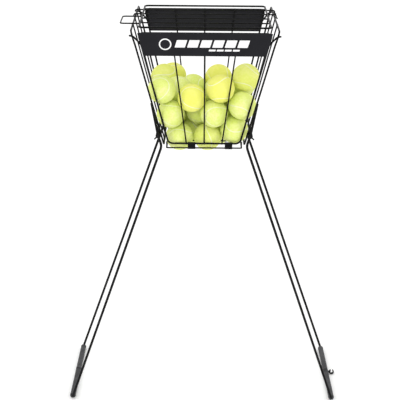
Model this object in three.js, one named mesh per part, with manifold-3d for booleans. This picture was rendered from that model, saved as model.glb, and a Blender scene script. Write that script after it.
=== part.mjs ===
// A ball basket on two U-shaped wire legs, full of tennis balls.
// Millimetres, +Z up, front of the basket towards -Y. The origin is on the floor, under the middle
// of the whole, handle clip included, so the basket itself stands a little to the left of it.
// The basket is four slanted wire walls on a wire floor, closed by a grid lid that turns on the
// right-hand rim. The legs turn on two rods near the basket's floor: splayed they are the stand,
// closed they meet grip to grip and are the handle, which the clip on the right leg holds shut.
import * as THREE from 'three';
import { mergeVertices } from 'three/addons/utils/BufferGeometryUtils.js';
import Module from 'manifold-3d';

const wasm = await Module();
wasm.setup();

// ---- driving dimensions -------------------------------------------------------------------
const rimHeight = 931;        // centre of the rim wire above the floor
const rimHalf = 165;          // half the rim, centre to wire
const floorHeight = 640;      // centre of the basket's floor wires
const floorHalf = 92.5;       // half the basket at its floor
const frameRadius = 2.2;      // side frames and grille frames
const rodRadius = 1.7;        // thin rods in walls, floor and lid
const legRadius = 2.9;        // heavy wire of the legs
const gap = 0.35;             // left between pieces that touch

const wallRods = 3;           // rods in each wall
const floorRods = 2;          // the gaps are a little narrower than a ball, which is pressed through
const cornerJog = 3;          // the posts stand this much proud at the rim
const frameInsetTop = 14;     // front and back grilles, in from the corner posts
const frameInsetFloor = 11.5;
const grilleTop = 6;          // grille's top wire below the rim, along the wall
const grilleLift = 12;        // grille's lowest wire above the floor, along the wall
const sideLift = 9;           // side frame's lowest wire above the floor, along the wall

const signTop = 4;            // sign panel, along the wall from the rim
const signHeight = 56;
const signThickness = 1.6;
const signOverlap = 1;        // sign edge past the grille frame's centreline

const lidHalfWidth = 148;
const lidHalfDepth = 150;
const lidPitch = 60;          // lid rods, narrower than a ball
const lidRods = 4;
const hookRods = [2, 3];      // the lid rods that run out into hooks, counted from the front
const tabReach = 193;         // pull tab's outer edge from the middle
const tabFront = -100;
const tabBack = -6;

const pivotX = 107.8;         // leg pivot, from the middle
const pivotHeight = 674;
const pivotRodRadius = 2.4;
const pivotRodHalf = 117;
const bushRadius = 5.9;
const bushY = 109.7;
const bushLength = 9;

const gripRadius = 7;         // to the flat of the grip's underside
const gripSides = 12;
const footX = 323;            // crossbar from the middle, legs splayed
const footHalf = 148;         // half the crossbar
const gripInner = 4.4;        // bare wire left between the two grips, half
const gripOuter = 138;
const clipReach = 15.2;       // from crossbar to crossbar when the legs are closed
const clipWidth = 7;
const clipSleeveRadius = 5.5;
const clipRingRadius = 6.3;
const clipArm = 4;
const clipMouth = 4.4;

const ballRadius = 33;
const ballCount = 30;
const ballBulge = 5;          // how far a ball may press out between two wires
// Where the lowest balls lie from left to right, front row first. A ball past the floor's own
// side wire starts higher than one between the rods.
const layRows = [[-60, 6, 83], [-33, 33, 85], [-54, 15, 83]];
const layEdge = 80;
const layHeights = { between: 25, edge: 50 };
const dropSpread = 1.1;       // how the rest are strewn, radians a ball
const dropStart = 5.1;        // radians
const dropNearest = 30;       // from the basket's axis
const dropWidth = 60;         // added to that at most
const dropHeight = 95;        // where the first one starts, above the floor
const dropStep = 14;          // each next one starts this much higher
const settlingRounds = 1200;
const firstFall = 1.6;        // in the first round, less in each later one
const fallingShare = 0.8;     // of the rounds, before the balls only push apart

// ---- materials ----------------------------------------------------------------------------
const finish = (color, roughness, metalness = 0) =>
  new THREE.MeshStandardMaterial({ color, roughness, metalness });
const blackCoat = finish(0x17181a, 0.35, 0.3);
const panelBlack = finish(0x232329, 0.5);
const gripRubber = finish(0x35363a, 0.8);
const clipPlastic = finish(0x1d1e20, 0.45);
const felt = finish(0xd3e14a, 0.95);

// ---- solids -------------------------------------------------------------------------------
const v = (x, y, z) => new THREE.Vector3(x, y, z);

const toSolid = (geometry) => {
  const bare = geometry.clone();
  bare.deleteAttribute('normal');
  bare.deleteAttribute('uv');
  const merged = mergeVertices(bare, 1e-4);
  return new wasm.Manifold(new wasm.Mesh({
    numProp: 3,
    vertProperties: new Float32Array(merged.attributes.position.array),
    triVerts: new Uint32Array(merged.index.array),
  }));
};

const toGeometry = (solid) => {
  const mesh = solid.getMesh();
  const geometry = new THREE.BufferGeometry();
  geometry.setAttribute('position', new THREE.BufferAttribute(new Float32Array(mesh.vertProperties), 3));
  geometry.setIndex(new THREE.BufferAttribute(new Uint32Array(mesh.triVerts), 1));
  geometry.computeVertexNormals();
  return geometry;
};

const weld = (...pieces) => toGeometry(pieces.map(toSolid).reduce((all, one) => all.add(one)));

const cut = (body, ...tools) =>
  toGeometry(tools.map(toSolid).reduce((rest, tool) => rest.subtract(tool), toSolid(body)));

// A wire's centreline: straight runs between stations, which the bends place close together.
class WirePath extends THREE.Curve {
  constructor(stations) {
    super();
    this.stations = stations;
  }

  station(u) {
    return Math.round(u * (this.stations.length - 1));
  }

  getPointAt(u, target = new THREE.Vector3()) {
    return target.copy(this.stations[this.station(u)]);
  }

  getTangentAt(u, target = new THREE.Vector3()) {
    const here = this.station(u);
    const before = this.stations[Math.max(here - 1, 0)];
    const after = this.stations[Math.min(here + 1, this.stations.length - 1)];
    const at = this.stations[here];
    const into = at.clone().sub(before).normalize();
    const out = after.clone().sub(at).normalize();
    return target.copy(into.add(out)).normalize();
  }
}

// Corner points become bends of the given radius, each drawn with a few short runs.
const bent = (points, bendRadius, runs = 3) => {
  const stations = [points[0]];
  for (let i = 1; i < points.length - 1; i += 1) {
    const corner = points[i];
    const into = points[i - 1].clone().sub(corner);
    const out = points[i + 1].clone().sub(corner);
    const reach = Math.min(bendRadius, into.length() / 2.2, out.length() / 2.2);
    const from = corner.clone().addScaledVector(into.normalize(), reach);
    const to = corner.clone().addScaledVector(out.normalize(), reach);
    stations.push(...new THREE.QuadraticBezierCurve3(from, corner, to).getPoints(runs));
  }
  stations.push(points[points.length - 1]);
  return stations;
};

const roundSection = (radius, sides) => {
  const corners = Array.from({ length: sides }, (_, i) => {
    const turn = ((i + 0.5) / sides) * 2 * Math.PI;
    return new THREE.Vector2(radius * Math.cos(turn), radius * Math.sin(turn));
  });
  return new THREE.Shape(corners);
};

const wire = (stations, radius, sides = 8) => new THREE.ExtrudeGeometry(roundSection(radius, sides), {
  steps: stations.length - 1,
  extrudePath: new WirePath(stations),
});

const rod = (from, to, radius, sides = 8) => wire([from, to], radius, sides);

// A closed frame is one wire whose two ends butt together at the middle of its first side.
const loop = (corners, bendRadius, radius) => {
  const seam = corners[0].clone().add(corners[1]).multiplyScalar(0.5);
  const along = corners[1].clone().sub(corners[0]).normalize().multiplyScalar(gap / 2);
  const start = seam.clone().add(along);
  const end = seam.clone().sub(along);
  return wire(bent([start, ...corners.slice(1), corners[0], end], bendRadius), radius);
};

const tubeAlongY = (outer, inner, length, sides = 16) => {
  const half = length / 2;
  const profile = [[inner, -half], [outer, -half], [outer, half], [inner, half], [inner, -half]];
  return new THREE.LatheGeometry(profile.map(([r, y]) => new THREE.Vector2(r, y)), sides);
};

const barAlongY = (radius, length, sides = 16) => new THREE.CylinderGeometry(radius, radius, length, sides);

// ---- assembly -----------------------------------------------------------------------------
const basket = new THREE.Group();
basket.position.x = -(clipReach + clipRingRadius - gripRadius) / 2;

const place = (name, geometry, material, parent = basket) => {
  const mesh = new THREE.Mesh(geometry, material);
  mesh.name = name;
  parent.add(mesh);
  return mesh;
};

// ---- basket walls -------------------------------------------------------------------------
// Each wall is drawn flat: x along the rim, z down the wall, 0 at the rim. Its group leans it in
// towards the floor and turns it to its side of the basket.
const wallDrop = rimHeight - floorHeight;
const wallLength = Math.hypot(wallDrop, rimHalf - floorHalf);
const wallLean = Math.atan2(rimHalf - floorHalf, wallDrop);
const halfAt = (z) => rimHalf + ((rimHalf - floorHalf) * z) / wallLength;

const wallGroup = (turn) => {
  const side = new THREE.Group();
  side.rotation.z = turn;
  const lean = new THREE.Group();
  lean.position.set(0, -rimHalf, rimHeight);
  lean.rotation.x = wallLean;
  side.add(lean);
  basket.add(side);
  return lean;
};

const front = wallGroup(0);
const right = wallGroup(Math.PI / 2);
const back = wallGroup(Math.PI);
const left = wallGroup(-Math.PI / 2);

const rodPlaces = Array.from({ length: wallRods }, (_, i) => (2 * (i + 1)) / (wallRods + 1) - 1);

const wallRod = (share, halfWidth, top, bottom) => rod(
  v(share * halfWidth(top), 0, top),
  v(share * halfWidth(bottom), 0, bottom),
  rodRadius,
);

// Side frame: rim wire, two corner posts and a floor wire bent from one length, with its rods.
const sideBottom = -wallLength + sideLift;
const jogEnd = -34;
const sideFrame = weld(
  loop([
    v(-rimHalf - cornerJog, 0, 0),
    v(rimHalf + cornerJog, 0, 0),
    v(rimHalf + cornerJog, 0, jogEnd / 2),
    v(halfAt(jogEnd), 0, jogEnd),
    v(halfAt(sideBottom), 0, sideBottom),
    v(-halfAt(sideBottom), 0, sideBottom),
    v(-halfAt(jogEnd), 0, jogEnd),
    v(-rimHalf - cornerJog, 0, jogEnd / 2),
  ], 8, frameRadius),
  ...rodPlaces.map((share) => wallRod(share, halfAt, 0, sideBottom)),
);
place('side_frame_left', sideFrame, blackCoat, left);
place('side_frame_right', sideFrame.clone(), blackCoat, right);

// Front and back grilles: a narrower frame with its rods, hooked round the posts near the rim.
const grilleBottom = -wallLength + grilleLift;
const grilleHalf = (z) => halfAt(z)
  - THREE.MathUtils.mapLinear(z, 0, -wallLength, frameInsetTop, frameInsetFloor);
const hookRoot = -34;         // where a hook leaves the grille's frame
const hookStart = -15;        // its curl rises from here, round by the inside of the post
const hookEnd = -8;
const hookLoose = 1.3;        // between the curl and the post
const hookTurns = [60, 96, 132, 168, 204, 240];

const cornerHook = (side) => {
  const reach = frameRadius + rodRadius + hookLoose;
  const curl = hookTurns.map((degrees, i) => {
    const turn = THREE.MathUtils.degToRad(degrees);
    const z = THREE.MathUtils.mapLinear(i, 0, hookTurns.length - 1, hookStart, hookEnd);
    const proud = (rimHalf + cornerJog - halfAt(z)) * Math.cos(wallLean);
    return v(side * (halfAt(z) - reach * Math.cos(turn)), reach * Math.sin(turn) - proud, z);
  });
  return wire([v(side * grilleHalf(hookRoot), 0, hookRoot), ...curl], rodRadius);
};

const grille = weld(
  loop([
    v(-grilleHalf(-grilleTop), 0, -grilleTop),
    v(grilleHalf(-grilleTop), 0, -grilleTop),
    v(grilleHalf(grilleBottom), 0, grilleBottom),
    v(-grilleHalf(grilleBottom), 0, grilleBottom),
  ], 11, frameRadius),
  ...rodPlaces.map((share) => wallRod(share, grilleHalf, -grilleTop, grilleBottom)),
  cornerHook(-1),
  cornerHook(1),
);
place('front_grille', grille, blackCoat, front);
place('back_grille', grille.clone(), blackCoat, back);

// Sign panels lie on the outside of the two grilles, just below the rim.
const signOutline = new THREE.Shape([
  [-1, -signTop], [1, -signTop], [1, -signTop - signHeight], [-1, -signTop - signHeight],
].map(([side, z]) => new THREE.Vector2(side * (grilleHalf(z) + signOverlap), z)));
const sign = new THREE.ExtrudeGeometry(signOutline, { depth: signThickness, bevelEnabled: false });
sign.rotateX(Math.PI / 2);
sign.translate(0, -frameRadius - gap, 0);
place('front_sign', sign, panelBlack, front);
place('back_sign', sign.clone(), panelBlack, back);

// ---- basket floor -------------------------------------------------------------------------
const floorSide = floorHalf - 4.5;
const uprightHeight = 15;
const floorRodY = Array.from({ length: floorRods }, (_, i) => (
  floorHalf * ((2 * (i + 1)) / (floorRods + 1) - 1)
));
const floorCorner = (x, y) => v(x * floorSide, y * floorHalf, 0);
const floorGrid = weld(
  loop([floorCorner(-1, -1), floorCorner(1, -1), floorCorner(1, 1), floorCorner(-1, 1)], 4, rodRadius),
  ...floorRodY.map((y) => rod(v(-floorSide, y, 0), v(floorSide, y, 0), rodRadius)),
  ...[[-1, -1], [1, -1], [1, 1], [-1, 1]].map(([x, y]) => rod(
    v(x * floorSide, y * (floorHalf - 3), 0),
    v(x * floorSide, y * (floorHalf - 3), uprightHeight),
    rodRadius,
  )),
);
place('floor_grid', floorGrid, blackCoat).position.z = floorHeight;

// Folded clips join the grilles' lowest wires to the floor's front and back wires.
const clipOffsets = { left: -29.5, right: 57.6 };
const floorClipWidth = 18;
const floorClipHalf = frameRadius + 2;
const floorClipEnds = 9;      // the clip's length past the two wires' middles, both ends together
const grilleWire = v(
  0,
  -rimHalf - grilleBottom * Math.sin(wallLean),
  rimHeight + grilleBottom * Math.cos(wallLean),
);
const floorWire = v(0, -floorHalf, floorHeight);
const floorClip = () => {
  const middle = grilleWire.clone().add(floorWire).multiplyScalar(0.5);
  const across = grilleWire.clone().sub(floorWire);
  const block = new THREE.BoxGeometry(floorClipWidth, 2 * floorClipHalf, across.length() + floorClipEnds);
  block.rotateX(-Math.atan2(across.y, across.z));
  const bores = [[grilleWire, frameRadius], [floorWire, rodRadius]].map(([at, radius]) => {
    const bore = new THREE.CylinderGeometry(radius + gap, radius + gap, 2 * floorClipWidth, 12);
    bore.rotateZ(Math.PI / 2);
    return bore.translate(0, at.y - middle.y, at.z - middle.z);
  });
  return cut(block, ...bores).translate(0, middle.y, middle.z);
};
for (const [side, turn] of [['front', 0], ['back', Math.PI]]) {
  for (const [hand, x] of Object.entries(clipOffsets)) {
    const holder = new THREE.Group();
    holder.rotation.z = turn;
    basket.add(holder);
    place(`floor_clip_${side}_${hand}`, floorClip(), blackCoat, holder).position.x = x;
  }
}

// ---- lid ----------------------------------------------------------------------------------
// The lid's rods lie on the two rim wires. Two of them run out into hooks: on the right they curl
// round the rim wire, which is the hinge, and on the left they snap over it.
const lidHeight = rimHeight + frameRadius + rodRadius + gap;
const lidHookReach = frameRadius + rodRadius + gap;
const lidHookTail = v(4, 0, -5);
const rodY = (i) => (i - (lidRods - 1) / 2) * lidPitch;

const hookedRod = (y) => {
  const curl = (side, lowest) => [90, 60, 30, 0, lowest].map((degrees) => {
    const turn = THREE.MathUtils.degToRad(degrees);
    return v(side * (rimHalf + lidHookReach * Math.cos(turn)), y, lidHookReach * (Math.sin(turn) - 1));
  });
  const tail = v(rimHalf + lidHookReach, y, -lidHookReach).add(lidHookTail);
  return wire([...curl(-1, -12).reverse(), ...curl(1, -30), tail], rodRadius);
};

const lid = weld(
  loop([
    v(-lidHalfWidth, -lidHalfDepth, 0),
    v(lidHalfWidth, -lidHalfDepth, 0),
    v(lidHalfWidth, lidHalfDepth, 0),
    v(-lidHalfWidth, lidHalfDepth, 0),
  ], 10, frameRadius),
  ...Array.from({ length: lidRods }, (_, i) => (hookRods.includes(i)
    ? hookedRod(rodY(i))
    : rod(v(-lidHalfWidth, rodY(i), 0), v(lidHalfWidth, rodY(i), 0), rodRadius))),
);
place('lid_grid', lid, blackCoat).position.z = lidHeight;

// Pull tab: a wire loop that reaches out over the left rim, clear of the lid's own frame.
const tabInner = lidHalfWidth + frameRadius + rodRadius + gap;
const tab = wire(bent([
  v(-tabInner, tabFront, 0),
  v(-tabReach, tabFront, 0),
  v(-tabReach, tabBack, 0),
  v(-tabInner, tabBack, 0),
], 7), rodRadius);
place('lid_pull_tab', tab, blackCoat).position.z = lidHeight;

// ---- legs ---------------------------------------------------------------------------------
// One bent wire each: from a short stop arm along the corner post, through the pivot bush and the
// knee, down to the crossbar on the floor, and back up the same way.
const stopArmTop = v(-121.9, -127.3, 757);
const pivotPoint = v(-pivotX, -bushY, pivotHeight);
const knee = v(-99.5, -106.5, 648);
const foot = v(-footX, -footHalf, gripRadius);
const tailReach = 9;          // a short stop tail, out and down from the pivot
const mirrored = (p) => v(p.x, -p.y, p.z);

const bushAt = (y, outer, length) => barAlongY(outer, length).translate(-pivotX, y, pivotHeight);

const tailFrom = (y) => rod(
  v(-pivotX, y, pivotHeight),
  v(-pivotX - tailReach, y, pivotHeight - tailReach),
  rodRadius,
);

const legGeometry = () => {
  const frontSide = [stopArmTop, pivotPoint, knee, foot];
  const path = bent([...frontSide, ...frontSide.map(mirrored).reverse()], 9);
  const body = weld(
    wire(path, legRadius),
    ...[-bushY, bushY].flatMap((y) => [bushAt(y, bushRadius, bushLength), tailFrom(y)]),
  );
  return cut(body, ...[-bushY, bushY].map((y) => bushAt(y, pivotRodRadius + gap, bushLength + 4)));
};

// Pivot brackets: a drilled lug beside each corner post carries the pivot rod.
const bracketY = 97;
const bracketThickness = 2.4;
const lugWidth = 7;
const lugHeight = 22;
const bracket = () => cut(
  weld(
    barAlongY(bushRadius, bracketThickness),
    new THREE.BoxGeometry(lugWidth, bracketThickness, lugHeight).translate(1.5, 0, lugHeight / 2 - 1),
  ),
  barAlongY(pivotRodRadius + gap, 2 * bracketThickness),
);

// The right-hand half of the legs and their fittings is the left-hand one turned half round.
const halves = { left: new THREE.Group(), right: new THREE.Group() };
halves.right.rotation.z = Math.PI;
basket.add(halves.left, halves.right);

const grip = () => tubeAlongY(gripRadius / Math.cos(Math.PI / gripSides), legRadius + gap,
  gripOuter - gripInner, gripSides).rotateY(Math.PI / gripSides);

for (const [hand, group] of Object.entries(halves)) {
  place(`leg_${hand}`, legGeometry(), blackCoat, group);
  place(`pivot_rod_${hand}`, barAlongY(pivotRodRadius, 2 * pivotRodHalf, 12), blackCoat, group)
    .position.set(-pivotX, 0, pivotHeight);
  for (const end of ['front', 'back']) {
    const y = (end === 'front' ? -1 : 1) * (hand === 'left' ? 1 : -1);
    place(`grip_${hand}_${end}`, grip(), gripRubber, group)
      .position.set(-footX, (y * (gripInner + gripOuter)) / 2, gripRadius);
    place(`pivot_bracket_${hand}_${end}`, bracket(), blackCoat, group)
      .position.set(-pivotX, y * bracketY, pivotHeight);
  }
}

// Handle clip: a sleeve on the right crossbar with an open ring that snaps over the left one.
const clipGeometry = () => {
  const bore = () => barAlongY(legRadius + gap, 2 * clipWidth);
  const body = weld(
    barAlongY(clipSleeveRadius, clipWidth),
    barAlongY(clipRingRadius, clipWidth).translate(clipReach, 0, 0),
    new THREE.BoxGeometry(clipReach, clipWidth, clipArm).translate(clipReach / 2, 0, 0),
  );
  const mouth = new THREE.BoxGeometry(clipMouth, 2 * clipWidth, 2 * clipRingRadius);
  return cut(
    body,
    bore(),
    bore().translate(clipReach, 0, 0),
    mouth.translate(clipReach, 0, clipRingRadius),
  );
};
place('handle_clip', clipGeometry(), clipPlastic).position.set(footX, 0, gripRadius);

// ---- balls --------------------------------------------------------------------------------
// Three rows of three sink between the floor's rods. The rest are dropped one spiral turn after
// another, and they all settle against the wires and each other.
const wallWires = (turn) => {
  const isGrille = turn % Math.PI < 0.1;
  const lowest = isGrille ? grilleBottom : sideBottom;
  const halfWidth = isGrille ? grilleHalf : halfAt;
  const at = (share, z, width = halfWidth) => v(
    share * width(z),
    -rimHalf - z * Math.sin(wallLean),
    rimHeight + z * Math.cos(wallLean),
  ).applyAxisAngle(v(0, 0, 1), turn);
  const uprights = [-1, ...rodPlaces, 1].map((share) => [at(share, 0), at(share, lowest)]);
  const posts = [-1, 1].map((share) => [at(share, 0, halfAt), at(share, lowest, halfAt)]);
  return [...uprights, ...posts, [at(-1, lowest), at(1, lowest)]];
};
const floorWires = [
  ...[...floorRodY, -floorHalf, floorHalf]
    .map((y) => [v(-floorSide, y, floorHeight), v(floorSide, y, floorHeight)]),
  ...[-floorSide, floorSide]
    .map((x) => [v(x, -floorHalf, floorHeight), v(x, floorHalf, floorHeight)]),
];
const clipLines = Object.values(clipOffsets).flatMap((x) => (
  [grilleWire, floorWire].flatMap((at) => [1, -1].map((turn) => [
    v(turn * (x - floorClipWidth / 2), turn * at.y, at.z),
    v(turn * (x + floorClipWidth / 2), turn * at.y, at.z),
    floorClipHalf + 1,
  ]))
));
const allWires = [
  ...floorWires,
  ...clipLines,
  ...[0, 1, 2, 3].flatMap((corner) => wallWires((corner * Math.PI) / 2)),
].map(([from, to, radius = frameRadius]) => ({ line: new THREE.Line3(from, to), radius }));

const layPitch = (2 * floorHalf) / (floorRods + 1);
const settledBalls = () => {
  const apart = 2 * ballRadius + gap;
  const golden = Math.PI * (3 - Math.sqrt(5));
  const balls = layRows.flatMap((row, i) => row.map((x) => {
    const lift = Math.abs(x) > layEdge ? layHeights.edge : layHeights.between;
    return v(x, (i - 1) * layPitch, floorHeight + lift);
  }));
  for (let i = balls.length, height = dropHeight; i < ballCount; i += 1, height += dropStep) {
    const radius = dropNearest + dropWidth * Math.abs(Math.sin(i * dropSpread));
    const turn = i * golden + dropStart;
    balls.push(v(radius * Math.cos(turn), radius * Math.sin(turn), floorHeight + height));
  }
  const normalY = Math.cos(wallLean);
  const normalZ = Math.sin(wallLean);
  const near = new THREE.Vector3();
  const push = new THREE.Vector3();
  for (let round = 0; round < settlingRounds; round += 1) {
    const done = round / settlingRounds;
    const fall = done < fallingShare ? firstFall * (1 - done) : 0;
    balls.forEach((ball) => {
      ball.z -= fall;
    });
    for (let pass = 0; pass < 3; pass += 1) {
      balls.forEach((ball, i) => {
        for (let j = 0; j < i; j += 1) {
          push.subVectors(ball, balls[j]);
          const short = apart - push.length();
          if (short > 0) {
            push.setLength(short / 2);
            ball.add(push);
            balls[j].sub(push);
          }
        }
        for (const [axis, side] of [['x', -1], ['x', 1], ['y', -1], ['y', 1]]) {
          const outward = side * ball[axis] - (rimHalf - (rimHeight - ball.z) * Math.tan(wallLean));
          const over = outward * normalY + ballRadius - ballBulge;
          if (over > 0) {
            ball[axis] -= side * over * normalY;
            ball.z += over * normalZ;
          }
        }
        for (const { line, radius } of allWires) {
          line.closestPointToPoint(ball, true, near);
          push.subVectors(ball, near);
          const short = ballRadius + radius + gap - push.length();
          if (short > 0) ball.add(push.setLength(short));
        }
      });
    }
  }
  return balls;
};

settledBalls().forEach((centre, i) => {
  const name = `ball_${String(i + 1).padStart(2, '0')}`;
  place(name, new THREE.SphereGeometry(ballRadius, 12, 8), felt).position.copy(centre);
});

export default basket;
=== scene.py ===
import math
import random

import bmesh
import bpy
import numpy as np
from mathutils import Matrix, Quaternion, Vector, noise


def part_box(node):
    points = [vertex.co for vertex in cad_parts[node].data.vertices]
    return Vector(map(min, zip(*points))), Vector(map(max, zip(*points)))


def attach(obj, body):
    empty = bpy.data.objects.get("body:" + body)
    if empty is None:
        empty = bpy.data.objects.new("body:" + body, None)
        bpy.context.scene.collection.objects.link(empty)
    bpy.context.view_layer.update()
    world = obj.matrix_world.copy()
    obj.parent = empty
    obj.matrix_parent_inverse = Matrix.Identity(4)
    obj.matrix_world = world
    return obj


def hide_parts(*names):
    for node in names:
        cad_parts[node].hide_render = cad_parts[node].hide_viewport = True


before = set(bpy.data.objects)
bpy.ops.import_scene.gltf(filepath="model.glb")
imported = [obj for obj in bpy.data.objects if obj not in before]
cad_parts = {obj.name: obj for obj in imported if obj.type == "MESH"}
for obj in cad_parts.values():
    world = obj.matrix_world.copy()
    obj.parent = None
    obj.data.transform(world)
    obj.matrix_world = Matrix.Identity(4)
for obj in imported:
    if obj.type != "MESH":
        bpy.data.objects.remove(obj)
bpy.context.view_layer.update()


# ---- Side frames -------------------------------------------------------------------------
# The left and right walls: rim, corner posts and floor wire bent from one length of 4.4 mm
# steel wire and butt welded, with three thin rods welded in, all powder coated gloss black.
MM = 0.001
BASKET_X = -7.25  # the basket stands this far left of the origin
RIM_Z, RIM_HALF = 931, 165
FLOOR_Z, FLOOR_HALF = 640, 92.5
FRAME_WIRE, THIN_ROD = 2.2, 1.7  # wire radii
ROD_PLACES = (-0.5, 0, 0.5)  # as a share of a wall's half width

WALL_LENGTH = math.hypot(RIM_Z - FLOOR_Z, RIM_HALF - FLOOR_HALF)
WALL_LEAN = math.atan2(RIM_HALF - FLOOR_HALF, RIM_Z - FLOOR_Z)


class Value:
    """An output socket of a finish. Arithmetic with it becomes Math nodes."""

    def __init__(self, finish, socket):
        self.finish = finish
        self.socket = socket

    def math(self, operation, left, right):
        return self.finish.node("ShaderNodeMath", {"operation": operation}, {0: left, 1: right})

    def __add__(self, other):
        return self.math("ADD", self, other)

    __radd__ = __add__

    def __mul__(self, other):
        return self.math("MULTIPLY", self, other)

    def __rsub__(self, other):
        return self.math("SUBTRACT", other, self)


class Finish:
    """A material made of nodes around one Principled shader."""

    def __init__(self, name, **looks):
        self.material = bpy.data.materials.new(name)
        self.material.use_nodes = True
        self.tree = self.material.node_tree
        self.shader = self.tree.nodes["Principled BSDF"]
        self.look(**looks)

    def look(self, **looks):
        for socket, value in looks.items():
            self.feed(self.shader.inputs[socket.replace("_", " ")], value)

    def feed(self, socket, value):
        if isinstance(value, Value):
            self.tree.links.new(value.socket, socket)
        else:
            socket.default_value = value

    def node(self, kind, settings=None, sockets=None, output=0):
        made = self.tree.nodes.new(kind)
        for setting, value in (settings or {}).items():
            setattr(made, setting, value)
        for key, value in (sockets or {}).items():
            self.feed(made.inputs[key], value)
        return Value(self, made.outputs[output])

    def grain(self, scale, detail):
        where = self.node("ShaderNodeTexCoord", output="Object")
        sockets = {"Scale": scale, "Detail": detail, "Vector": where}
        return self.node("ShaderNodeTexNoise", {}, sockets)

    def between(self, value, low, high):
        """0 below low, 1 above high and smooth between them."""
        sockets = {"Value": value, "From Min": low, "From Max": high}
        return self.node("ShaderNodeMapRange", {"interpolation_type": "SMOOTHSTEP"}, sockets)

    def blend(self, factor, first, second):
        sockets = {0: factor, 6: first, 7: second}  # the mix's colour sockets have these numbers
        return self.node("ShaderNodeMix", {"data_type": "RGBA"}, sockets, output=2)

    def bump(self, height, strength, distance):
        sockets = {"Height": height, "Strength": strength, "Distance": distance}
        return self.node("ShaderNodeBump", {}, sockets)


def powder_coat(name, tone=0.0024):
    """Gloss black coat: orange peel, faint cloudy dust and a few dull rub marks."""
    coat = Finish(name, Coat_Roughness=0.2, Specular_IOR_Level=0.05)
    peel = coat.grain(620, 2)
    dust = coat.between(coat.grain(38, 4), 0.42, 0.72)
    rubs = coat.between(coat.grain(150, 5), 0.62, 0.72)
    dark, pale = (tone, tone, tone * 1.12, 1), (tone * 2.2, tone * 2.2, tone * 2.3, 1)
    worn = coat.blend(rubs * 0.4, coat.blend(dust, dark, pale), (0.016, 0.016, 0.017, 1))
    coat.look(
        Base_Color=worn,
        Roughness=0.3 + peel * 0.1 + dust * 0.07 + rubs * 0.14,
        Coat_Weight=0.09 - rubs * 0.07,
        Normal=coat.bump(peel, 0.22, 0.0004),
    )
    return coat


def bent(points, reach, loop=False, steps=8):
    """A wire's centreline: straight runs, each corner rounded over reach on both sides."""
    corners = [Vector(p) for p in points]
    stations = []
    for i, corner in enumerate(corners):
        if not loop and i in (0, len(corners) - 1):
            stations.append(corner)
            continue
        into, out = corners[i - 1] - corner, corners[(i + 1) % len(corners)] - corner
        span = min(reach, into.length / 2.2, out.length / 2.2)
        into.normalize()
        out.normalize()
        centre = corner + (into + out).normalized() * span / math.cos(into.angle(out) / 2)
        first, last = corner + into * span - centre, corner + out * span - centre
        radius = first.length
        first.normalize()
        last.normalize()
        stations += [centre + first.slerp(last, k / steps) * radius for k in range(steps + 1)]
    return stations


def lofted(rings, loop=False):
    """Rings of points joined one to the next into a closed shell."""
    count = len(rings[0])
    faces = []
    for i in range(len(rings) if loop else len(rings) - 1):
        here, after = i * count, (i + 1) % len(rings) * count
        for j in range(count):
            k = (j + 1) % count
            faces.append([here + j, here + k, after + k, after + j])
    if not loop:
        faces.append(list(range(count))[::-1])
        faces.append([(len(rings) - 1) * count + j for j in range(count)])
    return [p for ring in rings for p in ring], faces


def full_turn(count):
    return [2 * math.pi * k / count for k in range(count)]


def wire(stations, radius, loop=False, sides=16):
    """A round wire along its centreline. Open ends are domed, as a sheared and coated end is."""
    count = len(stations)
    tangents = []
    for i in range(count):
        before = stations[i - 1] if loop else stations[max(i - 1, 0)]
        after = stations[(i + 1) % count] if loop else stations[min(i + 1, count - 1)]
        tangents.append((after - before).normalized())
    across = tangents[0].orthogonal().normalized()
    turns = full_turn(sides)
    domes = [(0, 0.4), (0.12, 0.72), (0.36, 0.93), (0.7, 1)]
    rings = []
    for i, (at, tangent) in enumerate(zip(stations, tangents)):
        across = (across - tangent * across.dot(tangent)).normalized()
        upright = tangent.cross(across)
        steps = [(0, 1)]
        if not loop and i == 0:
            steps = domes
        if not loop and i == count - 1:
            steps = [(-offset, scale) for offset, scale in reversed(domes)]
        for offset, scale in steps:
            centre = at + tangent * offset * radius
            rings.append([
                centre + (across * math.cos(t) + upright * math.sin(t)) * radius * scale
                for t in turns
            ])
    return lofted(rings, loop)


def rod(start, end, radius):
    return wire([Vector(start), Vector(end)], radius)


def turned(profile, centre=(0, 0, 0), loop=False, sides=32):
    """A lathe part round an axis along Y. The profile is pairs of radius and place along Y."""
    rings = [[
        Vector(centre) + Vector((r * math.cos(t), y, r * math.sin(t))) for t in full_turn(sides)
    ] for r, y in profile]
    return lofted(rings, loop)


def weld_bead(at, radius):
    """The small swelling that a resistance weld leaves where two wires join."""
    arc = [math.pi * (k + 0.5) / 8 for k in range(8)]
    return turned([(radius * math.sin(a), -radius * math.cos(a)) for a in arc], at, sides=12)


def shaped(name, shells, place):
    """One mesh of several shells, taken from millimetres to its place in metres."""
    to_metres = Matrix.Scale(MM, 4) @ Matrix.Translation((BASKET_X, 0, 0)) @ place
    points, faces = [], []
    for shell_points, shell_faces in shells:
        faces += [[i + len(points) for i in face] for face in shell_faces]
        points += shell_points
    mesh = bpy.data.meshes.new(name)
    mesh.from_pydata([to_metres @ p for p in points], [], faces)
    tidy = bmesh.new()
    tidy.from_mesh(mesh)
    bmesh.ops.recalc_face_normals(tidy, faces=tidy.faces)
    tidy.to_mesh(mesh)
    tidy.free()
    mesh.shade_smooth()
    mesh.set_sharp_from_angle(angle=math.radians(38))
    return mesh


def in_scene(name, data):
    made = bpy.data.objects.new(name, data)
    bpy.context.scene.collection.objects.link(made)
    return made


def fitted(name, shells, place, finish, body, slot, *nodes):
    """The finished piece, on the body that carries it and in place of its plain solids."""
    mesh = shaped(name, shells, place)
    mesh.materials.append(finish.material)
    made = in_scene(name, mesh)
    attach(made, body)
    if nodes:
        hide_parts(*nodes)


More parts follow.
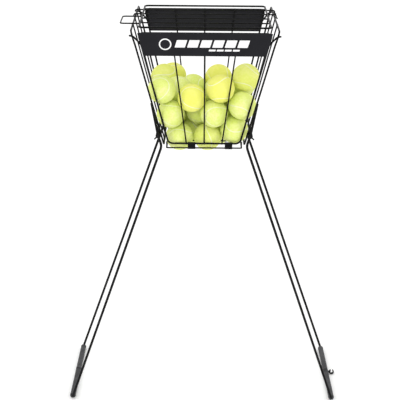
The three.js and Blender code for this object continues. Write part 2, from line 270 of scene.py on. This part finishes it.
def wall(turn):
    """From a wall drawn flat, x along the rim and z down the wall, to its side of the basket."""
    return (
        Matrix.Rotation(turn, 4, "Z")
        @ Matrix.Translation((0, -RIM_HALF, RIM_Z))
        @ Matrix.Rotation(WALL_LEAN, 4, "X")
    )


def half_at(z):
    return RIM_HALF + (RIM_HALF - FLOOR_HALF) * z / WALL_LENGTH


FRONT, RIGHT, BACK, LEFT = wall(0), wall(math.pi / 2), wall(math.pi), wall(-math.pi / 2)
wire_coat = powder_coat("black_powder_coat")

ROD_WELD, BUTT_WELD = 2.7, 2.55  # bead radii
SIDE_BOTTOM = 9 - WALL_LENGTH
SIDE_BEND, SIDE_BUTT = 8, 36  # the corners' reach, and where the wire's two ends meet
POST_TOP = RIM_HALF + 3  # the posts stand a little proud at the rim
JOG_END = -34
right_half = [
    (POST_TOP, 0, 0), (POST_TOP, 0, JOG_END / 2), (half_at(JOG_END), 0, JOG_END),
    (half_at(SIDE_BOTTOM), 0, SIDE_BOTTOM),
]
left_half = [(-x, y, z) for x, y, z in right_half]
outline = [left_half[0], *right_half, *reversed(left_half[1:])]
for side, place in (("left", LEFT), ("right", RIGHT)):
    shells = [wire(bent(outline, SIDE_BEND, loop=True), FRAME_WIRE, loop=True)]
    for share in ROD_PLACES:
        top, foot = (share * RIM_HALF, 0, 0), (share * half_at(SIDE_BOTTOM), 0, SIDE_BOTTOM)
        shells += [rod(top, foot, THIN_ROD), *(weld_bead(end, ROD_WELD) for end in (top, foot))]
    shells.append(weld_bead((SIDE_BUTT, 0, SIDE_BOTTOM), BUTT_WELD))
    node = f"side_frame_{side}"
    fitted(f"{side}_wall_wirework", shells, place, wire_coat, "basket", "wire", node)


# ---- Front and back grilles --------------------------------------------------------------
# A narrower frame of the same wire with three rods, whose two small hooks of 4.2 mm wire curl
# round the corner posts beside the sign and hold the four walls together.
GRILLE_TOP, GRILLE_BOTTOM = -6, 12 - WALL_LENGTH
GRILLE_BEND, GRILLE_BUTT = 11, -18
INSET_TOP, INSET_LESS = 14, 2.5  # from the post, and how much less that is at the floor
HOOK_ROOT, HOOK_START, HOOK_END = -34, -15, -8
HOOK_WIRE, HOOK_WELD = 2.1, 2.9
HOOK_REACH = FRAME_WIRE + THIN_ROD + 1.3
HOOK_TURNS, HOOK_STEPS = (60, 240), 20  # degrees round the post


def grille_half(z):
    return half_at(z) - (INSET_TOP - INSET_LESS * -z / WALL_LENGTH)


def corner_hook(side):
    """From the grille's frame up and round the inside of the post, ending in front of it."""
    line = [Vector((side * grille_half(HOOK_ROOT), 0, HOOK_ROOT))]
    first, last = HOOK_TURNS
    for k in range(HOOK_STEPS + 1):
        turn = math.radians(first + (last - first) * k / HOOK_STEPS)
        z = HOOK_START + (HOOK_END - HOOK_START) * k / HOOK_STEPS
        proud = (POST_TOP - half_at(z)) * math.cos(WALL_LEAN)
        x = half_at(z) - HOOK_REACH * math.cos(turn)
        line.append(Vector((side * x, HOOK_REACH * math.sin(turn) - proud, z)))
    return wire(line, HOOK_WIRE)


for side, place in (("front", FRONT), ("back", BACK)):
    corners = [
        (hand * grille_half(z), 0, z)
        for hand, z in ((-1, GRILLE_TOP), (1, GRILLE_TOP), (1, GRILLE_BOTTOM), (-1, GRILLE_BOTTOM))
    ]
    shells = [wire(bent(corners, GRILLE_BEND, loop=True), FRAME_WIRE, loop=True)]
    for share in ROD_PLACES:
        top = (share * grille_half(GRILLE_TOP), 0, GRILLE_TOP)
        foot = (share * grille_half(GRILLE_BOTTOM), 0, GRILLE_BOTTOM)
        shells += [rod(top, foot, THIN_ROD), *(weld_bead(end, ROD_WELD) for end in (top, foot))]
    for hand in (-1, 1):
        root = (hand * grille_half(HOOK_ROOT), 0, HOOK_ROOT)
        shells += [corner_hook(hand), weld_bead(root, HOOK_WELD)]
    shells.append(weld_bead((GRILLE_BUTT, 0, GRILLE_BOTTOM), BUTT_WELD))
    node = f"{side}_grille"
    fitted(f"{side}_wall_wirework", shells, place, wire_coat, "basket", "wire", node)


# ---- Basket floor ------------------------------------------------------------------------
# One bent thin rod with two cross rods a little less than a ball apart, so that balls can be
# pressed through from below, and four short uprights that stand inside the corner posts.
FLOOR_SIDE, FLOOR_BEND, FLOOR_WELD = FLOOR_HALF - 4.5, 4, 2.2
UPRIGHT_HEIGHT, UPRIGHT_INSET = 15, 3


def four_corners(half_x, half_y):
    return [(x * half_x, y * half_y, 0) for x, y in ((-1, -1), (1, -1), (1, 1), (-1, 1))]


on_floor = Matrix.Translation((0, 0, FLOOR_Z))
corners = four_corners(FLOOR_SIDE, FLOOR_HALF)
shells = [wire(bent(corners, FLOOR_BEND, loop=True), THIN_ROD, loop=True)]
for y in (-FLOOR_HALF / 3, FLOOR_HALF / 3):
    ends = [(x * FLOOR_SIDE, y, 0) for x in (-1, 1)]
    shells += [rod(*ends, THIN_ROD), *(weld_bead(end, FLOOR_WELD) for end in ends)]
for x, y, _ in corners:
    foot = (x, y - math.copysign(UPRIGHT_INSET, y), 0)
    shells += [rod(foot, (*foot[:2], UPRIGHT_HEIGHT), THIN_ROD), weld_bead(foot, FLOOR_WELD)]
fitted("floor_wirework", shells, on_floor, wire_coat, "basket", "wire", "floor_grid")


# ---- Floor straps ------------------------------------------------------------------------
# A strip of sheet steel folded round the grille's lowest wire and the floor wire and pinched
# together between them, two at the front and two at the back, coated with the wires.
STRAP_WIDTH = 18
STRAP_PLACES = {"left": -29.5, "right": 57.6}
SHEET = 1.05
SHEET_GAP, HOLE_GAP = 0.1, 0.08  # round the wires, outside and inside the folds


def cut_sheet(outlines, thickness, edge):
    """A flat piece in X and Z with soft edges, cut to its first outline with the rest as holes."""
    curve = bpy.data.curves.new("cutting", "CURVE")
    curve.dimensions = "2D"
    curve.fill_mode = "BOTH"
    curve.extrude = thickness / 2 - edge
    curve.bevel_depth = edge
    curve.bevel_resolution = 2
    curve.offset = -edge
    for outline in outlines:
        spline = curve.splines.new("POLY")
        spline.points.add(len(outline) - 1)
        spline.use_cyclic_u = True
        for point, (x, z) in zip(spline.points, outline):
            point.co = (x, z, 0, 1)
    blank = in_scene("cutting", curve)
    depsgraph = bpy.context.evaluated_depsgraph_get()
    raw = bpy.data.meshes.new_from_object(blank.evaluated_get(depsgraph))
    joined = bmesh.new()
    joined.from_mesh(raw)
    bmesh.ops.remove_doubles(joined, verts=joined.verts, dist=0.002)
    stood_up = [Vector((p.co.x, -p.co.z, p.co.y)) for p in joined.verts]
    faces = [[p.index for p in face.verts] for face in joined.faces]
    joined.free()
    bpy.data.objects.remove(blank)
    bpy.data.curves.remove(curve)
    bpy.data.meshes.remove(raw)
    return stood_up, faces


def circle(x, z, radius, start=0, end=360, count=32):
    """Points round an arc. A full circle leaves out the last, which is the first again."""
    last = count if end - start < 360 else count - 1
    turns = [math.radians(start + (end - start) * k / count) for k in range(last + 1)]
    return [(x + radius * math.cos(t), z + radius * math.sin(t)) for t in turns]


grille_wire = Vector((
    0,
    -RIM_HALF - GRILLE_BOTTOM * math.sin(WALL_LEAN),
    RIM_Z + GRILLE_BOTTOM * math.cos(WALL_LEAN),
))
floor_wire = Vector((0, -FLOOR_HALF, FLOOR_Z))
apart = (grille_wire - floor_wire).length
strap_lean = math.atan2(grille_wire.y - floor_wire.y, grille_wire.z - floor_wire.z)
lower_bend, upper_bend = THIN_ROD + SHEET + SHEET_GAP, FRAME_WIRE + SHEET + SHEET_GAP


def strap_half(t):
    """Half the strap's thickness at a height t above the floor wire."""
    lower = math.sqrt(max(0, lower_bend ** 2 - t * t))
    upper = math.sqrt(max(0, upper_bend ** 2 - (t - apart) ** 2))
    waist = SHEET if 0 < t < apart else 0
    return (lower ** 6 + upper ** 6 + waist ** 6) ** (1 / 6)


low, high = -lower_bend, apart + upper_bend
heights = [low + (high - low) * (1 - math.cos(math.pi * k / 48)) / 2 for k in range(1, 48)]
profile = [(0, low), *((strap_half(t), t) for t in heights), (0, high)]
profile += [(-strap_half(t), t) for t in reversed(heights)]
holes = [circle(0, 0, THIN_ROD + HOLE_GAP, count=20)]
holes.append(circle(0, apart, FRAME_WIRE + HOLE_GAP, count=24))
strap = cut_sheet([profile, *holes], STRAP_WIDTH, 0.3)
for side, turn in (("front", 0), ("back", math.pi)):
    for hand, x in STRAP_PLACES.items():
        place = (
            Matrix.Rotation(turn, 4, "Z")
            @ Matrix.Translation((x, floor_wire.y, floor_wire.z))
            @ Matrix.Rotation(-strap_lean, 4, "X")
            @ Matrix.Rotation(math.pi / 2, 4, "Z")
        )
        name, node = f"{side}_{hand}_floor_strap", f"floor_clip_{side}_{hand}"
        fitted(name, [strap], place, wire_coat, "basket", "fittings", node)


# ---- Signs -------------------------------------------------------------------------------
# Black plastic panels on the outside of the two grilles, just under the rim. The print is a
# plain ring and two rows of slanted blocks, with no lettering.
SIGN_TOP, SIGN_FOOT, SIGN_CORNER = -4, -60, 2.5
SIGN_FACE, SIGN_THICK = -4.15, 1.6
SIGN_OVERLAP = 1  # past the middle of the grille's wire
RING_X, RING_Z, RING_OUTER, RING_INNER = -89, -31, 14, 11.2
# For each row: where its blocks start, how wide one is, its foot, top and corner radius.
BLOCK_ROWS = (
    (range(-68, 100, 28), 23, -38.5, -20.5, 1),
    (range(8, 80, 18), 15, -47.5, -43.2, 0.8),
)
FILM, FILM_EDGE, FILM_SUNK = 0.12, 0.02, 0.05
sign_plastic = Finish("sign_plastic", Specular_IOR_Level=0.16)
grain = sign_plastic.grain(1900, 2)
cloud = sign_plastic.between(sign_plastic.grain(24, 4), 0.35, 0.7)
sign_plastic.look(
    Base_Color=sign_plastic.blend(cloud, (0.0065, 0.0065, 0.009, 1), (0.0095, 0.0095, 0.0125, 1)),
    Roughness=0.42 + grain * 0.16 + cloud * 0.06,
    Normal=sign_plastic.bump(grain, 0.15, 0.0002),
)
sign_ink = Finish("sign_white_print")
mottle = sign_ink.grain(700, 4)
worn_off = sign_ink.between(mottle, 0.4, 0.65)
sign_ink.look(
    Base_Color=sign_ink.blend(worn_off, (0.8, 0.8, 0.79, 1), (0.9, 0.9, 0.89, 1)),
    Roughness=0.42 + mottle * 0.12,
)


def rounded(corners, radius):
    """A polygon's outline in x and z with its corners rounded."""
    stood_up = [(x, 0, z) for x, z in corners]
    return [(p.x, p.z) for p in bent(stood_up, radius, loop=True, steps=6)]


def slanted_block(x, width, foot, top, radius):
    end = x + width
    slant = 0.3 * (top - foot)
    return rounded([(x, foot), (end, foot), (end + slant, top), (x + slant, top)], radius)


sign_edge = rounded([
    (side * (grille_half(z) + SIGN_OVERLAP), z)
    for side, z in ((-1, SIGN_TOP), (-1, SIGN_FOOT), (1, SIGN_FOOT), (1, SIGN_TOP))
], SIGN_CORNER)
printed = [[circle(RING_X, RING_Z, radius, count=48) for radius in (RING_OUTER, RING_INNER)]]
printed += [[slanted_block(x, *sizes)] for starts, *sizes in BLOCK_ROWS for x in starts]
seat = Matrix.Translation((0, SIGN_FACE + SIGN_THICK / 2, 0))
points, faces = cut_sheet([sign_edge], SIGN_THICK, 0.35)
panel = [seat @ p for p in points], faces
films = []
for outlines in printed:
    points, faces = cut_sheet(outlines, FILM, FILM_EDGE)
    films.append(([Vector((p.x, p.y + SIGN_FACE - FILM_SUNK, p.z)) for p in points], faces))
for side, place in (("front", FRONT), ("back", BACK)):
    node = f"{side}_sign"
    fitted(f"{side}_sign_panel", [panel], place, sign_plastic, "basket", "sign", node)
    fitted(f"{side}_sign_print", films, place, sign_ink, "basket", "sign")


# ---- Lid ---------------------------------------------------------------------------------
# A frame with four rods that lies on the rims. Two rods run out into hooks: round the right
# rim as the hinge, and over the left rim as a catch. A wire loop on the left lifts it.
LID_Z = 935.25
LID_HALF_WIDTH, LID_HALF_DEPTH, LID_BEND, LID_BUTT = 148, 150, 10, 70
PLAIN_RODS, HOOKED_RODS = (-90, -30), (30, 90)
LID_REACH = 4.25  # from the rim wire's middle to the hook's
CATCH_END, HINGE_END = -12, -30  # degrees below level where the curls end
TAIL_OUT, TAIL_DOWN = 4, 5
LID_WELD, TAB_WELD = 2.8, 2.1
on_rim = Matrix.Translation((0, 0, LID_Z))
lid_coat = powder_coat("lid_powder_coat")


def curl(side, y, lowest, steps=14):
    """Round a rim wire, from the top of it down its outside."""
    turns = [math.radians(90 + (lowest - 90) * k / steps) for k in range(steps + 1)]
    return [
        Vector((side * (RIM_HALF + LID_REACH * math.cos(t)), y, LID_REACH * (math.sin(t) - 1)))
        for t in turns
    ]


def hooked_rod(y):
    """Over the left rim as a catch, across, and round the right rim with a short tail."""
    tail = Vector((RIM_HALF + LID_REACH + TAIL_OUT, y, -LID_REACH - TAIL_DOWN))
    return wire([*reversed(curl(-1, y, CATCH_END)), *curl(1, y, HINGE_END), tail], THIN_ROD)


lid_line = bent(four_corners(LID_HALF_WIDTH, LID_HALF_DEPTH), LID_BEND, loop=True)
shells = [wire(lid_line, FRAME_WIRE, loop=True)]
shells.append(weld_bead((LID_BUTT, LID_HALF_DEPTH, 0), BUTT_WELD))
for y in (*PLAIN_RODS, *HOOKED_RODS):
    ends = [(x * LID_HALF_WIDTH, y, 0) for x in (-1, 1)]
    hooked = y in HOOKED_RODS
    shells.append(hooked_rod(y) if hooked else rod(*ends, THIN_ROD))
    shells += [weld_bead(end, LID_WELD if hooked else ROD_WELD) for end in ends]
fitted("lid_wirework", shells, on_rim, lid_coat, "lid", "lid_wire", "lid_grid")

TAB_INNER, TAB_OUTER = -152.25, -193
TAB_FRONT, TAB_BACK, TAB_BEND = -100, -6, 7
tab_line = bent([
    (TAB_INNER, TAB_FRONT, 0), (TAB_OUTER, TAB_FRONT, 0),
    (TAB_OUTER, TAB_BACK, 0), (TAB_INNER, TAB_BACK, 0),
], TAB_BEND, steps=10)
beads = [weld_bead((TAB_INNER + 0.6, y, 0), TAB_WELD) for y in (TAB_FRONT, TAB_BACK)]
shells = [wire(tab_line, THIN_ROD), *beads]
fitted("lid_pull_loop", shells, on_rim, lid_coat, "lid", "lid_wire", "lid_pull_tab")


# ---- Pivot lugs and rods -----------------------------------------------------------------
# A drilled steel lug is welded beside the foot of each corner post. A plain rod runs through
# the two lugs of each side and the two eyes of its leg, and is headed at both ends.
PIVOT_X, PIVOT_Z = 107.8, 674
PIN_RADIUS, PIN_HALF = 2.4, 117
LUG_Y, LUG_THICK, LUG_RADIUS, LUG_CORNER = 97, 2.4, 5.9, 3
LUG_LEFT, LUG_RIGHT, LUG_TOP = -2, 5, 21
fittings_coat = powder_coat("fittings_coat", tone=0.005)

joins = [
    math.degrees(math.atan2(math.sqrt(LUG_RADIUS ** 2 - x * x), x)) for x in (LUG_LEFT, LUG_RIGHT)
]
lug_outline = circle(0, 0, LUG_RADIUS, joins[0], joins[1] + 360, count=40)
for x, start in ((LUG_RIGHT - LUG_CORNER, 0), (LUG_LEFT + LUG_CORNER, 90)):
    lug_outline += circle(x, LUG_TOP - LUG_CORNER, LUG_CORNER, start, start + 90, count=8)
lug = cut_sheet([lug_outline, circle(0, 0, PIN_RADIUS + 0.3, count=32)], LUG_THICK, 0.35)
head = [(0.9, 0), (2.3, 0.25), (3.6, 1.1), (3.7, 2), (3.3, 2.5), (PIN_RADIUS, 2.6)]
headed = [(r, -PIN_HALF + y) for r, y in head]
headed += [(r, -y) for r, y in reversed(headed)]
HALF_TURNS = {"left": Matrix(), "right": Matrix.Rotation(math.pi, 4, "Z")}


def toward(hand, end):
    """Along Y before the half turn. The right half's front is the left half's back."""
    return (1 if end == "back" else -1) * (1 if hand == "left" else -1)


for hand, turn in HALF_TURNS.items():
    pin, node = turned(headed, (-PIVOT_X, 0, PIVOT_Z)), f"pivot_rod_{hand}"
    fitted(f"{hand}_pivot_pin", [pin], turn, fittings_coat, "basket", "fittings", node)
    for end in ("front", "back"):
        place = turn @ Matrix.Translation((-PIVOT_X, toward(hand, end) * LUG_Y, PIVOT_Z))
        name, node = f"{hand}_{end}_pivot_lug", f"pivot_bracket_{hand}_{end}"
        fitted(name, [lug], place, fittings_coat, "basket", "fittings", node)


# ---- Legs --------------------------------------------------------------------------------
# Each leg is one bent length of wire, 6.1 mm thick with its coat: a stop arm that lies along
# the corner post, a forged eye on the pivot rod with a short stop tail, the knee, and the
# crossbar on the floor.
LEG_WIRE = 3.05
EYE_Y, EYE_RADIUS, EYE_CLEAR = 109.7, 5.9, 4.2  # the wires stop this far from the eye's middle
TAIL_START, TAIL_END = 3.4, 9  # down and outward from the eye's middle
FOOT_X, FOOT_HALF, FOOT_Z, LEG_BEND = 323, 148, 7, 9
ARM_TOP = (-121.9, -127.3, 757)
KNEE = (-99.5, -106.5, 648)
leg_coat = powder_coat("leg_powder_coat", tone=0.0038)

eye_at = Vector((-PIVOT_X, -EYE_Y, PIVOT_Z))
eye_profile = [(PIN_RADIUS + 0.35, -4.0), (PIN_RADIUS + 0.9, -4.5)]
eye_profile += [(4.9, -4.5), (5.65, -4.1), (EYE_RADIUS, -3.3)]
eye_profile += [(r, -y) for r, y in reversed(eye_profile)]


def mirrored(p):
    return (p[0], -p[1], p[2])


def shortened(start, end, by):
    """The point on the way from start to end that lies short of end by a length."""
    start, end = Vector(start), Vector(end)
    return end + (start - end).normalized() * by


half_leg = [shortened(KNEE, eye_at, EYE_CLEAR), KNEE, (-FOOT_X, -FOOT_HALF, FOOT_Z)]
leg_line = bent([*half_leg, *(mirrored(p) for p in reversed(half_leg))], LEG_BEND, steps=12)
leg_shells = [wire(leg_line, LEG_WIRE, sides=20)]
tail = [(-PIVOT_X - by, -EYE_Y, PIVOT_Z - by) for by in (TAIL_START, TAIL_END)]
for flip in (tuple, mirrored):
    leg_shells += [
        rod(flip(ARM_TOP), flip(shortened(ARM_TOP, eye_at, EYE_CLEAR)), LEG_WIRE),
        rod(*(flip(p) for p in tail), THIN_ROD),
        turned(eye_profile, flip(eye_at), loop=True, sides=40),
    ]
for hand, turn in HALF_TURNS.items():
    name, node = f"{hand}_leg_wire", f"leg_{hand}"
    fitted(name, leg_shells, turn, leg_coat, f"{hand}_leg", "leg_wire", node)


# ---- Grips -------------------------------------------------------------------------------
# Two sleeves of soft grey rubber are pushed onto each crossbar. They are finely fluted along
# their length between plain end rings, and become the handle when the legs are closed.
GRIP_RADIUS, FLUTED_RADIUS, FLUTE_DEPTH, FLUTES = 7, 6.7, 0.32, 26
GRIP_INNER, GRIP_OUTER, RING_LENGTH = 4.4, 138, 5.6
grip_rubber = Finish("grip_rubber", Specular_IOR_Level=0.2)
grip_rubber.look(Sheen_Weight=0.08, Sheen_Roughness=0.5)
pores = grip_rubber.grain(1500, 3)
bloom = grip_rubber.between(grip_rubber.grain(45, 4), 0.35, 0.7)
grip_rubber.look(
    Base_Color=grip_rubber.blend(bloom, (0.036, 0.036, 0.039, 1), (0.065, 0.065, 0.069, 1)),
    Roughness=0.68 + pores * 0.2,
    Normal=grip_rubber.bump(pores, 0.5, 0.0004),
)
length = GRIP_OUTER - GRIP_INNER
# Radius, place from the sleeve's end, and how far the flutes have come to their full depth.
end_profile = [
    (LEG_WIRE + 0.4, 0, 0), (6.3, 0, 0), (6.85, 0.4, 0), (GRIP_RADIUS, 1.2, 0),
    (GRIP_RADIUS, 3.6, 0), (6.75, 4.1, 0),
    (FLUTED_RADIUS, 4.6, 0.5), (FLUTED_RADIUS, RING_LENGTH, 1),
]
stations = [(r, y - length / 2, f) for r, y, f in end_profile]
stations += [
    (FLUTED_RADIUS, -length / 2 + RING_LENGTH + (length - 2 * RING_LENGTH) * k / 12, 1)
    for k in range(1, 12)
]
stations += [(r, length / 2 - y, f) for r, y, f in reversed(end_profile)]
rings = []
for radius, y, fluted in stations:
    ring = []
    for t in full_turn(FLUTES * 6):
        out = radius - fluted * FLUTE_DEPTH * (0.5 - 0.5 * math.cos(FLUTES * t))
        ring.append(Vector((math.cos(t), 0, math.sin(t))) * out + Vector((0, y, 0)))
    rings.append(ring)
sleeve = lofted(rings, loop=True)
sleeve_y = (GRIP_INNER + GRIP_OUTER) / 2
for hand, turn in HALF_TURNS.items():
    for end in ("front", "back"):
        place = turn @ Matrix.Translation((-FOOT_X, toward(hand, end) * sleeve_y, FOOT_Z))
        name, node = f"{hand}_{end}_grip_sleeve", f"grip_{hand}_{end}"
        fitted(name, [sleeve], place, grip_rubber, f"{hand}_leg", "grip", node)


# ---- Handle clip -------------------------------------------------------------------------
# Black nylon moulding that turns on the right crossbar between its grips. The open ring snaps
# over the left crossbar when the legs are closed.
CLIP_REACH, CLIP_WIDTH = 15.2, 7
SLEEVE_RADIUS, RING_RADIUS, CLIP_BORE = 6.4, 6.3, 3.3
ARM_HALF, MOUTH_HALF = 2, 2.2
nylon = Finish("clip_nylon", Specular_IOR_Level=0.14)
texture = nylon.grain(1300, 3)
flow = nylon.between(nylon.grain(120, 3), 0.4, 0.65)
nylon.look(
    Base_Color=nylon.blend(flow, (0.004, 0.004, 0.0045, 1), (0.009, 0.009, 0.0096, 1)),
    Roughness=0.36 + texture * 0.15,
    Normal=nylon.bump(texture, 0.2, 0.0002),
)
at_sleeve = math.degrees(math.asin(ARM_HALF / SLEEVE_RADIUS))
at_ring = math.degrees(math.asin(ARM_HALF / RING_RADIUS))
lip_out = math.degrees(math.acos(MOUTH_HALF / RING_RADIUS))
lip_in = math.degrees(math.acos(MOUTH_HALF / CLIP_BORE))
clip_outline = circle(0, 0, SLEEVE_RADIUS, at_sleeve, 360 - at_sleeve, 36)
clip_outline += circle(CLIP_REACH, 0, RING_RADIUS, -180 + at_ring, lip_out, 32)
clip_outline += circle(CLIP_REACH, 0, CLIP_BORE, lip_in, -180 - lip_in, 26)
clip_outline += circle(CLIP_REACH, 0, RING_RADIUS, 180 - lip_out, 180 - at_ring, 10)
clip = cut_sheet([clip_outline, circle(0, 0, CLIP_BORE, count=32)], CLIP_WIDTH, 0.5)
on_crossbar = Matrix.Translation((FOOT_X, 0, FOOT_Z))
fitted("handle_snap_clip", [clip], on_crossbar, nylon, "clip", "clip", "handle_clip")


# ---- Tennis balls ------------------------------------------------------------------------
# Rubber balls covered with two dumbbell-shaped panels of yellow-green wool felt. The panels
# meet in one curved seam of pale rubber that lies a little lower than the nap.
BALL_RADIUS = 33
SEAM_HALF, SEAM_DEPTH = 1.1, 0.55
NAP_DEPTH = 0.25  # the felt's highest tufts reach the ball's full radius
felt = Finish("ball_felt", Sheen_Weight=0.12, Sheen_Roughness=0.45, Specular_IOR_Level=0.15)
felt.look(Sheen_Tint=(0.95, 1, 0.6, 1))
nap = felt.grain(1100, 4)
tufts = felt.between(felt.grain(210, 4), 0.34, 0.68)
patches = felt.between(felt.grain(26, 2), 0.35, 0.65)
lot = felt.node("ShaderNodeObjectInfo", output="Random")
seam = felt.node("ShaderNodeAttribute", {"attribute_name": "seam"}, output="Fac")
cream, lime, gold = (0.79, 0.84, 0.33, 1), (0.66, 0.78, 0.12, 1), (0.85, 0.81, 0.12, 1)
dyed = felt.blend(tufts * 0.4 + patches * 0.4, cream, lime)
dyed = felt.blend(felt.between(lot, 0.66, 0.97) * 0.6, dyed, gold)
felt.look(
    Base_Color=felt.blend(seam * 0.7, dyed, (0.86, 0.87, 0.66, 1)),
    Roughness=0.96 - seam * 0.3,
    Normal=felt.bump(nap * 0.6 + tufts * 0.4, 0.55, 0.0007),
)

t = np.linspace(0, 2 * np.pi, 720, endpoint=False)
seam_curve = np.stack([
    0.75 * np.cos(t) + 0.25 * np.cos(3 * t),
    0.75 * np.sin(t) - 0.25 * np.sin(3 * t),
    math.sqrt(0.75) * np.sin(2 * t),
], 1)


def from_seam(directions):
    """How far points on the ball lie from the seam's middle, in millimetres."""
    nearest = np.clip((directions @ seam_curve.T).max(1), -1, 1)
    return BALL_RADIUS * np.arccos(nearest)


def on_unit_ball(covering):
    for vert in covering.verts:
        vert.co.normalize()
    return np.array([vert.co for vert in covering.verts])


covering = bmesh.new()
bmesh.ops.create_icosphere(covering, subdivisions=5, radius=1)
for margin in (5, 3.2):
    near = from_seam(on_unit_ball(covering)) < margin
    covering.verts.index_update()
    edges = [e for e in covering.edges if near[e.verts[0].index] and near[e.verts[1].index]]
    bmesh.ops.subdivide_edges(covering, edges=edges, cuts=1, use_grid_fill=True)
    bmesh.ops.triangulate(covering, faces=covering.faces)
    covering.verts.index_update()
away = from_seam(on_unit_ball(covering))
for vert, distance in zip(covering.verts, away):
    fuzz = 0.16 * noise.noise(vert.co * 9) + 0.1 * noise.noise(vert.co * 31)
    groove = SEAM_DEPTH / (1 + (distance / SEAM_HALF) ** 6)
    vert.co *= (BALL_RADIUS - NAP_DEPTH + fuzz * min(1, distance / 3) - groove) * MM
ball_mesh = bpy.data.meshes.new("tennis_ball")
covering.to_mesh(ball_mesh)
covering.free()
ball_mesh.shade_smooth()
ball_mesh.materials.append(felt.material)
seam_mask = 1 / (1 + (away / (SEAM_HALF * 0.95)) ** 10)
seam_values = ball_mesh.attributes.new("seam", "FLOAT", "POINT").data
seam_values.foreach_set("value", seam_mask.astype(np.float32))

rolls = random.Random(11)
for node in sorted(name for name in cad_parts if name.startswith("ball_")):
    low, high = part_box(node)
    roll = Quaternion([rolls.gauss(0, 1) for _ in range(4)]).normalized()
    made = in_scene(f"tennis_{node}", ball_mesh)
    made.matrix_world = Matrix.Translation((low + high) / 2) @ roll.to_matrix().to_4x4()
    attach(made, "basket")
    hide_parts(node)


# ---- Floor, light and camera -------------------------------------------------------------
# A plain pale floor under soft, nearly shadowless studio light, with the camera in front of
# the basket and above its rim.
floor_paint = Finish("studio_floor", Roughness=0.9, Specular_IOR_Level=0.1)
speck = floor_paint.grain(3, 2)
floor_paint.look(Base_Color=floor_paint.blend(speck, (0.96, 0.96, 0.96, 1), (0.98, 0.98, 0.98, 1)))
GROUND_HALF = 20  # this and the places below are in metres, the turns in radians
KEY_AT, KEY_AIM = Vector((-0.5, -3.0, 2.1)), Vector((0, 0, 0.75))
DOME_TURN = (math.radians(46), 0, math.radians(-12))
CAMERA_AT, CAMERA_DOWN, CAMERA_ROLL = (-0.0159, -2.6952, 1.3986), 0.329, 0.0075
ground = bpy.data.meshes.new("studio_floor")
ground.from_pydata(four_corners(GROUND_HALF, GROUND_HALF), [], [[0, 1, 2, 3]])
ground.materials.append(floor_paint.material)
in_scene("studio_floor", ground)

world = bpy.data.worlds.new("studio")
bpy.context.scene.world = world
world.use_nodes = True
sky = world.node_tree.nodes["Background"]
sky.inputs["Color"].default_value = (1, 1, 1, 1)
sky.inputs["Strength"].default_value = 1.0

key = bpy.data.lights.new("key_box", "AREA")
key.shape, key.size, key.energy = "DISK", 1.4, 10
key_box = in_scene("key_box", key)
key_box.location = KEY_AT
key_box.rotation_euler = (KEY_AIM - KEY_AT).to_track_quat("-Z", "Y").to_euler()

dome = bpy.data.lights.new("front_dome", "SUN")
dome.energy, dome.angle = 0.75, math.radians(70)
in_scene("front_dome", dome).rotation_euler = DOME_TURN

lens = bpy.data.cameras.new("camera")
lens.lens = 103.27
lens.sensor_width = 36
camera = in_scene("camera", lens)
camera.matrix_world = (
    Matrix.Translation(CAMERA_AT)
    @ Matrix.Rotation(math.pi / 2 - CAMERA_DOWN, 4, "X")
    @ Matrix.Rotation(CAMERA_ROLL, 4, "Z")
)
bpy.context.scene.camera = camera
bpy.context.scene.view_settings.view_transform = "Standard"
